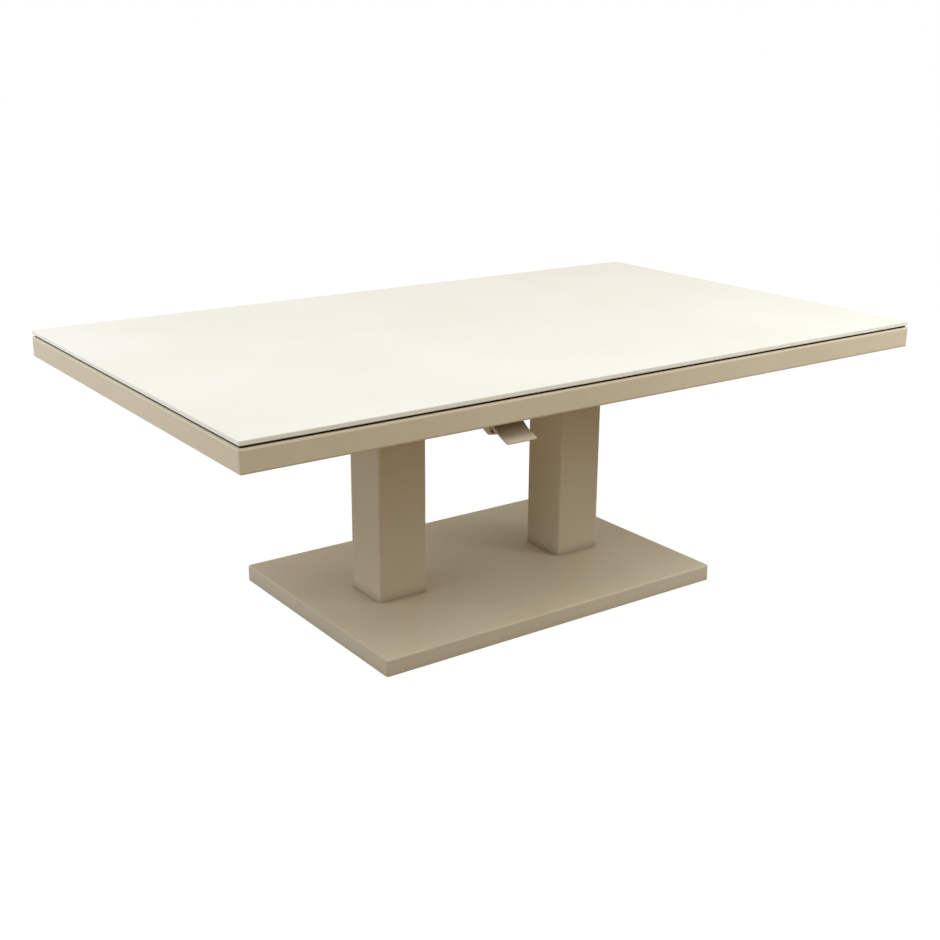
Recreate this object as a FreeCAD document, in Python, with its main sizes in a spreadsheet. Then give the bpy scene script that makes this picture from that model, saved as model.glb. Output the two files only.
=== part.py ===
"""Height-adjustable garden table with two telescopic columns and a hand release.

Millimetres.  The floor is z = 0, the origin is under the middle of the top,
X runs along the length and the release lever hangs under the front, at -Y.
"""
import FreeCAD, Part
import os
import Sketcher

SIZES = {
    # overall
    "table_length": 1500,
    "table_width": 900,
    "table_height": 550,
    "lift_travel": 200,
    # table top
    "top_thickness": 8,
    "top_inset": 1,
    "top_corner_radius": 4,
    "top_arris": 1,
    "shadow_gap": 4,
    "pad_size": 20,
    "strip_inset": 5,
    "strip_width": 12,
    "pad_side_distance": 190,
    # frame under the top
    "rail_height": 40,
    "rail_width": 30,
    "rail_wall": 2,
    "rail_edge_radius": 4,
    "frame_corner_radius": 5,
    "cross_rail_width": 25,
    "cross_rail_wall": 2,
    "cross_rail_edge_radius": 2,
    "cross_rail_offset": 55,
    # columns
    "column_spacing": 444,
    "outer_column": 108,
    "outer_column_wall": 3,
    "outer_column_radius": 5,
    "inner_column": 90,
    "inner_column_wall": 3,
    "inner_column_radius": 5,
    "inner_rest_gap": 20,
    "closed_gap": 4,
    "collar_flange": 4,
    "collar_skirt": 60,
    "slide_clearance": 0.3,
    "shoe_length": 40,
    "shoe_lip": 4,
    "head_plate_length": 160,
    "head_plate_width": 150,
    "head_plate_thickness": 6,
    "head_plate_radius": 8,
    "head_bolt_offset": 62,
    "head_bolt_length": 18,
    # base
    "base_length": 800,
    "base_width": 550,
    "base_height": 33,
    "base_corner_radius": 6,
    "base_edge_radius": 4,
    "cover_wall": 3,
    "cover_fit": 0.8,
    "floor_gap": 6,
    "base_plate_thickness": 10,
    "flange_size": 150,
    "flange_thickness": 10,
    "flange_radius": 8,
    "flange_bolt_offset": 63,
    "spacer_diameter": 24,
    "spacer_inset": 60,
    # levelling feet
    "foot_inset": 45,
    "foot_diameter": 40,
    "foot_thickness": 5.7,
    "foot_edge_chamfer": 1.5,
    "foot_stud_diameter": 8,
    "foot_stud_length": 24,
    "foot_nut_height": 8,
    # bolts, nuts and clearances
    "large_bolt_diameter": 10,
    "large_head_width": 16,
    "large_head_height": 6.4,
    "small_bolt_diameter": 8,
    "small_head_width": 13,
    "small_head_height": 5.3,
    "bolt_clearance": 0.4,
    "thread_clearance": 0.2,
    "running_clearance": 0.1,
    "bolt_tip_gap": 1,
    "cutter_overlap": 1,
    # gas springs
    "cylinder_diameter": 28,
    "cylinder_wall": 2,
    "cylinder_plug": 12,
    "cylinder_guide": 15,
    "cylinder_stud_diameter": 8,
    "cylinder_stud_length": 9,
    "piston_height": 8,
    "piston_margin": 10,
    "piston_clearance": 0.3,
    "rod_diameter": 10,
    "rod_neck_diameter": 8,
    "rod_neck_length": 17,
    "rod_nut_height": 6.5,
    "pin_diameter": 4,
    "pin_length": 26,
    "pin_rise": 6,
    "pin_travel_room": 6,
    "pin_clearance": 0.4,
    # release lever and its bracket
    "lever_turn": 12,
    "lever_offset": -17,
    "lever_setback": 54.5,
    "lever_drop": 20.4,
    "paddle_width": 62,
    "paddle_thickness": 2.5,
    "paddle_root_ahead": 12,
    "paddle_root_above": 8.5,
    "paddle_root_length": 22.2,
    "paddle_root_slope": 35.8,
    "paddle_tip_length": 25.2,
    "paddle_tip_slope": 21.4,
    "paddle_bend_radius": 60,
    "paddle_corner_radius": 4,
    "cheek_radius": 11,
    "cheek_ahead": 27,
    "cheek_behind": 20,
    "window_length": 11,
    "window_height": 8,
    "window_margin": 2,
    "lever_pin_diameter": 8,
    "lever_pin_head_diameter": 12,
    "lever_pin_head": 2.5,
    "lever_clip_thickness": 1.5,
    "lever_side_gap": 0.5,
    "lever_spacer_diameter": 20,
    "bracket_sheet": 3,
    "bracket_web_length": 44,
    "bracket_web_behind": 40,
    "bracket_ear_spacing": 36,
    "bracket_ear_radius": 8,
    "bracket_ear_inset": 9,
    "bracket_screw_diameter": 5,
    "bracket_screw_head_diameter": 9,
    "bracket_screw_head": 3,
    "bracket_screw_length": 7,
    "bracket_screw_spread": 26,
    # linkage from the lever to the gas springs
    "link_arm": 16,
    "link_arm_end_radius": 5.5,
    "link_pin_diameter": 6,
    "link_pin_length": 9,
    "eye_diameter": 11,
    "eye_thickness": 5,
    "eye_clearance": 0.5,
    "push_rod_diameter": 6,
    "push_rod_bend_start": 10,
    "push_rod_bend_length": 22,
    "crank_radius": 13,
    "crank_thickness": 5,
    "crank_hub_diameter": 18,
    "arm_edge_step": 1,
    "cam_radius": 11.6,
    "cam_nose_radius": 4,
    "cam_gap": 0.2,
    "cam_thickness": 12,
    "cam_hub_diameter": 17,
    "shaft_diameter": 10,
    "shaft_overhang": 6,
    "bush_wall": 2,
    "bush_fit": 0.1,
    "clip_thickness": 1.5,
    "clip_width": 3,
}

doc = FreeCAD.newDocument("garden_table")
sheet = doc.addObject("Spreadsheet::Sheet", "Sizes")
for row, (alias, value) in enumerate(SIZES.items(), start=1):
    sheet.set(f"A{row}", alias)
    sheet.set(f"B{row}", str(value))
    sheet.setAlias(f"B{row}", alias)
doc.recompute()


def cell(name):
    """The cell of one named size, for use in an expression."""
    return f"Sizes.{name}"


def number(expression):
    """The value that an expression has now, in millimetres or degrees."""
    result = sheet.evalExpression(str(expression))
    return float(getattr(result, "Value", result))


# Heights above the floor, as expressions of the named sizes
BASE_BOTTOM = cell("floor_gap")
PLATE_TOP = f"({BASE_BOTTOM} + {cell('base_plate_thickness')})"
COVER_TOP = f"({BASE_BOTTOM} + {cell('base_height')})"
COVER_UNDER = f"({COVER_TOP} - {cell('cover_wall')})"
FLANGE_TOP = f"({PLATE_TOP} + {cell('flange_thickness')})"
TOP_UNDER = f"({cell('table_height')} - {cell('top_thickness')})"
RAIL_TOP = f"({TOP_UNDER} - {cell('shadow_gap')})"
RAIL_BOTTOM = f"({RAIL_TOP} - {cell('rail_height')})"
HEAD_BOTTOM = f"({RAIL_BOTTOM} - {cell('head_plate_thickness')})"
COLLAR_TOP = f"({HEAD_BOTTOM} - {cell('closed_gap')})"
COLUMN_TOP = f"({COLLAR_TOP} - {cell('collar_flange')})"
INNER_BOTTOM = f"({FLANGE_TOP} + {cell('inner_rest_gap')})"
CYLINDER_PLUG_TOP = f"({FLANGE_TOP} + {cell('cylinder_plug')})"
PISTON_BOTTOM = f"({CYLINDER_PLUG_TOP} + {cell('piston_margin')})"
PISTON_TOP = f"({PISTON_BOTTOM} + {cell('piston_height')})"
GUIDE_BOTTOM = f"({PISTON_TOP} + {cell('lift_travel')})"
CYLINDER_TOP = f"({GUIDE_BOTTOM} + {cell('cylinder_guide')})"
ROD_TOP = f"({HEAD_BOTTOM} + {cell('rod_neck_length')})"
PIN_TOP = f"({ROD_TOP} + {cell('pin_rise')})"

# Places along the length and the width
COLUMN_X = f"({cell('column_spacing')} / 2)"
BRACKET_X = f"(-{COLUMN_X})"
LEVER_X = f"({BRACKET_X} + {cell('lever_offset')})"
HALF_LENGTH = f"({cell('table_length')} / 2)"
HALF_WIDTH = f"({cell('table_width')} / 2)"

# The linkage: the lever and the shaft turn evenly about their middle positions
LEVER_Y = f"(-{HALF_WIDTH} + {cell('lever_setback')})"
LEVER_Z = f"({RAIL_BOTTOM} - {cell('lever_drop')})"
LEVER_HALF_TURN = f"({cell('lever_turn')} / 2 * 1deg)"
ROD_HALF_TRAVEL = f"({cell('link_arm')} * sin({LEVER_HALF_TURN}))"
SHAFT_HALF_TURN = f"asin({ROD_HALF_TRAVEL} / {cell('crank_radius')})"
LINK_Y = f"({LEVER_Y} - {ROD_HALF_TRAVEL})"
LINK_Z = f"({LEVER_Z} + {cell('link_arm')} * cos({LEVER_HALF_TURN}))"
NOSE_Z = f"({PIN_TOP} + {cell('cam_gap')} + {cell('cam_nose_radius')})"
SHAFT_Y = f"({cell('cam_radius')} * cos({SHAFT_HALF_TURN}))"
SHAFT_Z = f"({NOSE_Z} - {cell('cam_radius')} * sin({SHAFT_HALF_TURN}))"
CRANK_Y = f"({SHAFT_Y} - {ROD_HALF_TRAVEL})"
CRANK_Z = f"({SHAFT_Z} - {cell('crank_radius')} * cos({SHAFT_HALF_TURN}))"
PADDLE_HALF = f"({cell('paddle_width')} / 2)"
CHEEK_INNER = f"({PADDLE_HALF} - {cell('paddle_thickness')})"
LINK_X = f"({LEVER_X} + {PADDLE_HALF} + {cell('lever_side_gap')} * 2 + {cell('eye_thickness')} / 2)"
CRANK_FACE = f"({LINK_X} + {cell('eye_thickness')} / 2 + {cell('lever_side_gap')})"
CRANK_X = f"({CRANK_FACE} + {cell('crank_thickness')} / 2)"

SIDES = {"left": -1, "right": 1}
CORNERS = [(-1, -1), (1, -1), (1, 1), (-1, 1)]
OVERLAP = cell("cutter_overlap")
EAR_FRONT_ANGLE = "140deg"
EAR_REAR_ANGLE = "-40deg"
CHEEK_UPPER_ANGLE = "45deg"
CHEEK_LOWER_ANGLE = "-65deg"
CHEEK_UNDER_ANGLE = "-110deg"
HEXAGON_SIDES = 6
HEXAGON_HALF_ANGLE = "30deg"
TOUCHING = 1e-3
PARALLEL = 1e-6
nodes = {}


def bind(obj, **expressions):
    for name, expression in expressions.items():
        obj.setExpression(name, str(expression))
    return obj


def put(obj, x, y, z):
    """Set an object down at a place given by three expressions."""
    for axis, expression in zip("xyz", (x, y, z)):
        obj.setExpression(f"Placement.Base.{axis}", str(expression))
    return obj


def keep(name, obj):
    """Name an object as one of the table's nodes."""
    obj.Label = name
    nodes[name] = obj
    return obj


def box(name, length, width, height, x, y, z):
    """A box centred on x and y that stands on z."""
    obj = doc.addObject("Part::Box", name)
    bind(obj, Length=length, Width=width, Height=height)
    return put(obj, f"{x} - ({length}) / 2", f"{y} - ({width}) / 2", z)


TURNS = {
    "x": FreeCAD.Rotation(FreeCAD.Vector(0, 1, 0), 90),
    "y": FreeCAD.Rotation(FreeCAD.Vector(1, 0, 0), -90),
    "z": FreeCAD.Rotation(),
}


def cylinder(name, diameter, length, x, y, z, along="z"):
    """A cylinder that starts at a point and runs along an axis."""
    obj = doc.addObject("Part::Cylinder", name)
    obj.Placement = FreeCAD.Placement(FreeCAD.Vector(), TURNS[along])
    bind(obj, Radius=f"({diameter}) / 2", Height=length)
    return put(obj, x, y, z)


def hexagon(name, across_flats, height, x, y, z):
    """A hexagonal prism that stands on z."""
    obj = doc.addObject("Part::Prism", name)
    obj.Polygon = HEXAGON_SIDES
    bind(obj, Circumradius=f"{across_flats} / 2 / cos({HEXAGON_HALF_ANGLE})", Height=height)
    return put(obj, x, y, z)


def fuse(name, parts):
    obj = doc.addObject("Part::MultiFuse", name)
    obj.Shapes = parts
    obj.Refine = True
    return obj


def cut(name, base, tools):
    obj = doc.addObject("Part::Cut", name)
    obj.Base = base
    obj.Tool = tools[0] if len(tools) == 1 else fuse(f"{name}_tools", tools)
    return obj


def group(name, parts):
    """Separate solids of one kind that share a node."""
    obj = doc.addObject("Part::Compound", name)
    obj.Links = parts
    return keep(name, obj)


def new_body(name):
    body = doc.addObject("PartDesign::Body", name)
    body.Label = name
    return body


def new_sketch(body, name, plane, x="0", y="0", z="0"):
    """A sketch on one of the body's own planes, moved by expressions."""
    sketch = body.newObject("Sketcher::SketchObject", name)
    support = [f for f in body.Origin.OriginFeatures if f.Role == f"{plane}_Plane"]
    sketch.AttachmentSupport = (support[0], [""])
    sketch.MapMode = "FlatFace"
    for axis, expression in zip("xyz", (x, y, z)):
        sketch.setExpression(f"AttachmentOffset.Base.{axis}", str(expression))
    return sketch


def outline(sketch, points, closed=True):
    """Straight lines whose corners follow expressions, closed or as an open path."""
    first = sketch.GeometryCount
    count = len(points)
    lines = count if closed else count - 1
    corners = [FreeCAD.Vector(number(x), number(y), 0) for x, y in points]
    for i in range(lines):
        sketch.addGeometry(Part.LineSegment(corners[i], corners[(i + 1) % count]), False)
    for i in range(lines if closed else lines - 1):
        following = first + (i + 1) % count
        sketch.addConstraint(Sketcher.Constraint("Coincident", first + i, 2, following, 1))
    for i, (x, y) in enumerate(points):
        line, end = (first + i, 1) if i < lines else (first + i - 1, 2)
        for kind, expression in (("DistanceX", x), ("DistanceY", y)):
            constraint = Sketcher.Constraint(kind, -1, 1, line, end, number(expression))
            index = sketch.addConstraint(constraint)
            sketch.setExpression(f"Constraints[{index}]", str(expression))


def rectangle(sketch, width, height):
    """A rectangle about the sketch's origin."""
    outline(sketch, [(f"{sx} * ({width}) / 2", f"{sy} * ({height}) / 2") for sx, sy in CORNERS])


def circle(sketch, diameter):
    index = sketch.addGeometry(
        Part.Circle(FreeCAD.Vector(), FreeCAD.Vector(0, 0, 1), number(diameter) / 2), False
    )
    sketch.addConstraint(Sketcher.Constraint("Coincident", index, 3, -1, 1))
    constraint = sketch.addConstraint(Sketcher.Constraint("Diameter", index, number(diameter)))
    sketch.setExpression(f"Constraints[{constraint}]", str(diameter))


def pad(body, name, sketch, length, symmetric=False):
    feature = body.newObject("PartDesign::Pad", name)
    feature.Profile = sketch
    feature.SideType = "Symmetric" if symmetric else "One side"
    return bind(feature, Length=length)


def pocket(body, name, sketch, depth, upward=True):
    feature = body.newObject("PartDesign::Pocket", name)
    feature.Profile = sketch
    feature.Reversed = upward
    return bind(feature, Length=depth)


def revolve(body, name, points):
    """A turned piece: half of its section, as radius and height, about Z."""
    sketch = new_sketch(body, f"{name}_section", "XZ")
    outline(sketch, points)
    feature = body.newObject("PartDesign::Revolution", name)
    feature.Profile = sketch
    feature.ReferenceAxis = (sketch, ["V_Axis"])
    feature.Angle = 360
    return feature


def fillet(body, name, base, test, radius, kind="Fillet"):
    """Round or chamfer the edges of a feature that pass a test."""
    doc.recompute()
    picked = [f"Edge{i}" for i, edge in enumerate(base.Shape.Edges, start=1) if test(edge)]
    feature = body.newObject(f"PartDesign::{kind}", name)
    feature.Base = (base, picked)
    return bind(feature, **{"Radius" if kind == "Fillet" else "Size": radius})


def runs_along(axis, reach=None):
    """A test for straight edges along an axis; reach picks the outermost ones."""

    def test(edge):
        if edge.Curve.TypeId != "Part::GeomLine":
            return False
        direction = edge.tangentAt(edge.FirstParameter)
        if abs(abs(getattr(direction, axis)) - 1) > PARALLEL:
            return False
        if reach is None:
            return True
        centre = edge.CenterOfMass
        return all(
            abs(abs(getattr(centre, other)) - number(size)) < TOUCHING for other, size in reach.items()
        )

    return test


def at_height(height):
    """A test for edges that lie in one level plane."""

    def test(edge):
        level = number(height)
        return abs(edge.BoundBox.ZMin - level) < TOUCHING and abs(edge.BoundBox.ZMax - level) < TOUCHING

    return test


def plate(name, length, width, thickness, x, y, z, radius):
    """A flat plate with rounded corners that stands on z."""
    body = new_body(name)
    sketch = new_sketch(body, f"{name}_outline", "XY")
    rectangle(sketch, length, width)
    sheet_pad = pad(body, f"{name}_thickness", sketch, thickness)
    fillet(body, f"{name}_corners", sheet_pad, runs_along("z"), radius)
    return put(body, x, y, z)


def square_tube(name, size, wall, radius, length, x, z):
    """An upright square tube with rounded outer edges."""
    body = new_body(name)
    sketch = new_sketch(body, f"{name}_section", "XY")
    rectangle(sketch, size, size)
    rectangle(sketch, f"{size} - 2 * {wall}", f"{size} - 2 * {wall}")
    tube = pad(body, f"{name}_length", sketch, length)
    outer = {"x": f"{size} / 2", "y": f"{size} / 2"}
    fillet(body, f"{name}_edges", tube, runs_along("z", outer), radius)
    return put(body, x, "0", z)


def bolt(name, diameter, head_width, head_height, length, x, y, z, head_below):
    """A hexagon bolt whose head seats on z, above or below it."""
    head_z = f"{z} - {head_height}" if head_below else z
    shank_z = z if head_below else f"{z} - ({length})"
    head = hexagon(f"{name}_head", head_width, head_height, x, y, head_z)
    shank = cylinder(f"{name}_shank", diameter, length, x, y, shank_z)
    return fuse(name, [head, shank])


# The base: a heavy steel plate on levelling feet, under a folded cover
PLATE_MARGIN = f"2 * ({cell('cover_wall')} + {cell('cover_fit')})"
FOOT_X = f"({cell('base_length')} / 2 - {cell('foot_inset')})"
FOOT_Y = f"({cell('base_width')} / 2 - {cell('foot_inset')})"
FEET = {
    "front_left_foot": (-1, -1),
    "front_right_foot": (1, -1),
    "rear_right_foot": (1, 1),
    "rear_left_foot": (-1, 1),
}
FOOT_HOLE = f"{cell('foot_stud_diameter')} + 2 * {cell('slide_clearance')}"
LARGE_THREAD = f"{cell('large_bolt_diameter')} + {cell('thread_clearance')}"
LARGE_CLEAR = f"{cell('large_bolt_diameter')} + {cell('bolt_clearance')}"
SMALL_THREAD = f"{cell('small_bolt_diameter')} + {cell('thread_clearance')}"
SMALL_CLEAR = f"{cell('small_bolt_diameter')} + {cell('bolt_clearance')}"
NECK_CLEAR = f"{cell('rod_neck_diameter')} + {cell('bolt_clearance')}"


def hole(name, diameter, depth, x, y, z):
    """A round cutter that stands out a little at both ends of a depth above z."""
    return cylinder(name, diameter, f"{depth} + 2 * {OVERLAP}", x, y, f"{z} - {OVERLAP}")


def flange_bolt_places():
    for sign in SIDES.values():
        for sx, sy in CORNERS:
            yield (
                f"{sign} * {COLUMN_X} + {sx} * {cell('flange_bolt_offset')}",
                f"{sy} * {cell('flange_bolt_offset')}",
            )


blank = plate(
    "base_plate_blank",
    f"{cell('base_length')} - {PLATE_MARGIN}",
    f"{cell('base_width')} - {PLATE_MARGIN}",
    cell("base_plate_thickness"),
    "0",
    "0",
    BASE_BOTTOM,
    f"{cell('base_corner_radius')} - {cell('cover_wall')}",
)
holes = []
for sx, sy in FEET.values():
    place = (f"{sx} * {FOOT_X}", f"{sy} * {FOOT_Y}", BASE_BOTTOM)
    holes.append(hole("foot_hole", FOOT_HOLE, cell("base_plate_thickness"), *place))
for x, y in flange_bolt_places():
    holes.append(hole("bolt_hole", LARGE_THREAD, cell("base_plate_thickness"), x, y, BASE_BOTTOM))
keep("base_plate", cut("base_plate", blank, holes))

FLANGE_BOLT_LENGTH = f"{cell('flange_thickness')} + {cell('base_plate_thickness')} - {cell('bolt_tip_gap')}"
bolts = []
for x, y in flange_bolt_places():
    bolts.append(
        bolt(
            "flange_bolt",
            cell("large_bolt_diameter"),
            cell("large_head_width"),
            cell("large_head_height"),
            FLANGE_BOLT_LENGTH,
            x,
            y,
            FLANGE_TOP,
            head_below=False,
        )
    )
group("flange_bolts", bolts)

nuts = []
for name, (sx, sy) in FEET.items():
    x, y = f"{sx} * {FOOT_X}", f"{sy} * {FOOT_Y}"
    body = new_body(name)
    foot_top = f"{cell('foot_thickness')} + {cell('foot_stud_length')}"
    pad_radius = f"{cell('foot_diameter')} / 2"
    stud_radius = f"{cell('foot_stud_diameter')} / 2"
    revolve(
        body,
        f"{name}_turned",
        [
            ("0", "0"),
            (f"{pad_radius} - {cell('foot_edge_chamfer')}", "0"),
            (pad_radius, cell("foot_edge_chamfer")),
            (pad_radius, cell("foot_thickness")),
            (stud_radius, cell("foot_thickness")),
            (stud_radius, foot_top),
            ("0", foot_top),
        ],
    )
    put(body, x, y, "0")
    keep(name, body)
    nut = hexagon("foot_nut_blank", cell("small_head_width"), cell("foot_nut_height"), x, y, PLATE_TOP)
    thread = f"{cell('foot_stud_diameter')} + {cell('thread_clearance')}"
    nuts.append(cut("foot_nut", nut, [hole("nut_hole", thread, cell("foot_nut_height"), x, y, PLATE_TOP)]))
group("foot_nuts", nuts)

SPACER_X = f"({cell('base_length')} / 2 - {cell('spacer_inset')})"
SPACER_Y = f"({cell('base_width')} / 2 - {cell('spacer_inset')})"
spacers = []
for x, y in ((f"-{SPACER_X}", "0"), (SPACER_X, "0"), ("0", f"-{SPACER_Y}"), ("0", SPACER_Y)):
    height = f"{COVER_UNDER} - {PLATE_TOP}"
    spacers.append(cylinder("cover_spacer", cell("spacer_diameter"), height, x, y, PLATE_TOP))
group("cover_spacers", spacers)

cover = new_body("base_cover")
sketch = new_sketch(cover, "cover_outline", "XY")
rectangle(sketch, cell("base_length"), cell("base_width"))
block = pad(cover, "cover_height", sketch, cell("base_height"))
corners = fillet(cover, "cover_corners", block, runs_along("z"), cell("base_corner_radius"))
fillet(cover, "cover_edges", corners, at_height(cell("base_height")), cell("base_edge_radius"))
sketch = new_sketch(cover, "cover_hollow_outline", "XY")
rectangle(
    sketch,
    f"{cell('base_length')} - 2 * {cell('cover_wall')}",
    f"{cell('base_width')} - 2 * {cell('cover_wall')}",
)
pocket(cover, "cover_hollow", sketch, f"{cell('base_height')} - {cell('cover_wall')}")
sketch = new_sketch(cover, "column_openings_outline", "XY")
OPENING_HALF = f"({cell('outer_column')} / 2 + {cell('cover_fit')})"
for sign in SIDES.values():
    outline(
        sketch,
        [(f"{sign} * {COLUMN_X} + {sx} * {OPENING_HALF}", f"{sy} * {OPENING_HALF}") for sx, sy in CORNERS],
    )
openings = pocket(cover, "column_openings", sketch, cell("base_height"))


def in_column_opening(edge):
    centre = edge.CenterOfMass
    off_x = abs(abs(centre.x) - number(COLUMN_X)) - number(OPENING_HALF)
    off_y = abs(centre.y) - number(OPENING_HALF)
    return runs_along("z")(edge) and abs(off_x) < TOUCHING and abs(off_y) < TOUCHING


OPENING_RADIUS = f"{cell('outer_column_radius')} + {cell('cover_fit')}"
fillet(cover, "column_opening_corners", openings, in_column_opening, OPENING_RADIUS)
keep("base_cover", put(cover, "0", "0", BASE_BOTTOM))

# The two columns, each a fixed outer tube with a sliding inner tube and a gas spring
OUTER_BORE = f"({cell('outer_column')} - 2 * {cell('outer_column_wall')})"
INNER_BORE = f"({cell('inner_column')} - 2 * {cell('inner_column_wall')})"
SPRING_BORE = f"({cell('cylinder_diameter')} / 2 - {cell('cylinder_wall')})"
ROD_HOLE = f"({cell('rod_diameter')} + {cell('running_clearance')}) / 2"
PIN_BOTTOM = f"({PIN_TOP} - {cell('pin_length')})"
PIN_HOLE_BOTTOM = f"({PIN_BOTTOM} - {cell('pin_travel_room')})"
PIN_HOLE = f"({cell('pin_diameter')} + {cell('pin_clearance')}) / 2"

head_bolts = []
rod_nuts = []
for side, sign in SIDES.items():
    x = f"{sign} * {COLUMN_X}"

    flange = plate(
        f"{side}_flange_blank",
        cell("flange_size"),
        cell("flange_size"),
        cell("flange_thickness"),
        x,
        "0",
        PLATE_TOP,
        cell("flange_radius"),
    )
    stud_thread = f"{cell('cylinder_stud_diameter')} + {cell('thread_clearance')}"
    holes = [hole("stud_hole", stud_thread, cell("flange_thickness"), x, "0", PLATE_TOP)]
    for sx, sy in CORNERS:
        bolt_x = f"{x} + {sx} * {cell('flange_bolt_offset')}"
        bolt_y = f"{sy} * {cell('flange_bolt_offset')}"
        holes.append(hole("bolt_hole", LARGE_CLEAR, cell("flange_thickness"), bolt_x, bolt_y, PLATE_TOP))
    keep(f"{side}_column_flange", cut(f"{side}_column_flange", flange, holes))

    tube = square_tube(
        f"{side}_outer_column",
        cell("outer_column"),
        cell("outer_column_wall"),
        cell("outer_column_radius"),
        f"{COLUMN_TOP} - {FLANGE_TOP}",
        x,
        FLANGE_TOP,
    )
    keep(f"{side}_outer_column", tube)

    collar = new_body(f"{side}_guide_collar")
    sketch = new_sketch(collar, "collar_flange_outline", "XY")
    rectangle(sketch, cell("outer_column"), cell("outer_column"))
    rim = pad(collar, "collar_rim", sketch, cell("collar_flange"))
    fillet(collar, "collar_rim_edges", rim, runs_along("z"), cell("outer_column_radius"))
    sketch = new_sketch(collar, "collar_skirt_outline", "XY", z=f"-{cell('collar_skirt')}")
    rectangle(sketch, OUTER_BORE, OUTER_BORE)
    pad(collar, "collar_skirt", sketch, cell("collar_skirt"))
    sketch = new_sketch(collar, "collar_opening_outline", "XY", z=f"-{cell('collar_skirt')}")
    opening_size = f"{cell('inner_column')} + 2 * {cell('slide_clearance')}"
    rectangle(sketch, opening_size, opening_size)
    opening = pocket(collar, "collar_opening", sketch, f"{cell('collar_skirt')} + {cell('collar_flange')}")
    half_opening = f"({opening_size}) / 2"
    opening_edges = runs_along("z", {"x": half_opening, "y": half_opening})
    collar_radius = f"{cell('inner_column_radius')} + {cell('slide_clearance')}"
    put(collar, x, "0", COLUMN_TOP)
    fillet(collar, "collar_opening_corners", opening, opening_edges, collar_radius)
    keep(f"{side}_guide_collar", collar)

    spring = new_body(f"{side}_gas_cylinder")
    spring_radius = f"{cell('cylinder_diameter')} / 2"
    stud_radius = f"{cell('cylinder_stud_diameter')} / 2"
    stud_bottom = f"{FLANGE_TOP} - {cell('cylinder_stud_length')}"
    revolve(
        spring,
        f"{side}_gas_cylinder_turned",
        [
            ("0", stud_bottom),
            (stud_radius, stud_bottom),
            (stud_radius, FLANGE_TOP),
            (spring_radius, FLANGE_TOP),
            (spring_radius, CYLINDER_TOP),
            (ROD_HOLE, CYLINDER_TOP),
            (ROD_HOLE, GUIDE_BOTTOM),
            (SPRING_BORE, GUIDE_BOTTOM),
            (SPRING_BORE, CYLINDER_PLUG_TOP),
            ("0", CYLINDER_PLUG_TOP),
        ],
    )
    keep(f"{side}_gas_cylinder", put(spring, x, "0", "0"))

    gas_rod = new_body(f"{side}_gas_rod")
    piston_radius = f"{SPRING_BORE} - {cell('piston_clearance')}"
    rod_radius = f"{cell('rod_diameter')} / 2"
    neck_radius = f"{cell('rod_neck_diameter')} / 2"
    revolve(
        gas_rod,
        f"{side}_gas_rod_turned",
        [
            ("0", PISTON_BOTTOM),
            (piston_radius, PISTON_BOTTOM),
            (piston_radius, PISTON_TOP),
            (rod_radius, PISTON_TOP),
            (rod_radius, HEAD_BOTTOM),
            (neck_radius, HEAD_BOTTOM),
            (neck_radius, ROD_TOP),
            (PIN_HOLE, ROD_TOP),
            (PIN_HOLE, PIN_HOLE_BOTTOM),
            ("0", PIN_HOLE_BOTTOM),
        ],
    )
    keep(f"{side}_gas_rod", put(gas_rod, x, "0", "0"))

    pin = cylinder(f"{side}_release_pin", cell("pin_diameter"), cell("pin_length"), x, "0", PIN_BOTTOM)
    keep(f"{side}_release_pin", pin)

    nut = hexagon("rod_nut_blank", cell("small_head_width"), cell("rod_nut_height"), x, "0", RAIL_BOTTOM)
    neck_thread = f"{cell('rod_neck_diameter')} + {cell('thread_clearance')}"
    nut_hole = hole("rod_nut_hole", neck_thread, cell("rod_nut_height"), x, "0", RAIL_BOTTOM)
    rod_nuts.append(cut("gas_rod_nut", nut, [nut_hole]))

    tube = square_tube(
        f"{side}_inner_column",
        cell("inner_column"),
        cell("inner_column_wall"),
        cell("inner_column_radius"),
        f"{HEAD_BOTTOM} - {INNER_BOTTOM}",
        x,
        INNER_BOTTOM,
    )
    keep(f"{side}_inner_column", tube)

    shoe = new_body(f"{side}_glide_shoe")
    sketch = new_sketch(shoe, "shoe_outline", "XY", z=f"-{cell('shoe_lip')}")
    shoe_size = f"{OUTER_BORE} - 2 * {cell('slide_clearance')}"
    rectangle(sketch, shoe_size, shoe_size)
    block = pad(shoe, "shoe_block", sketch, f"{cell('shoe_lip')} + {cell('shoe_length')}")
    shoe_radius = f"{cell('outer_column_radius')} - {cell('outer_column_wall')}"
    fillet(shoe, "shoe_edges", block, runs_along("z"), shoe_radius)
    sketch = new_sketch(shoe, "shoe_socket_outline", "XY")
    rectangle(sketch, cell("inner_column"), cell("inner_column"))
    pocket(shoe, "shoe_socket", sketch, cell("shoe_length"))
    sketch = new_sketch(shoe, "shoe_opening_outline", "XY", z=f"-{cell('shoe_lip')}")
    rectangle(sketch, INNER_BORE, INNER_BORE)
    pocket(shoe, "shoe_opening", sketch, cell("shoe_lip"))
    keep(f"{side}_glide_shoe", put(shoe, x, "0", INNER_BOTTOM))

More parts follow.
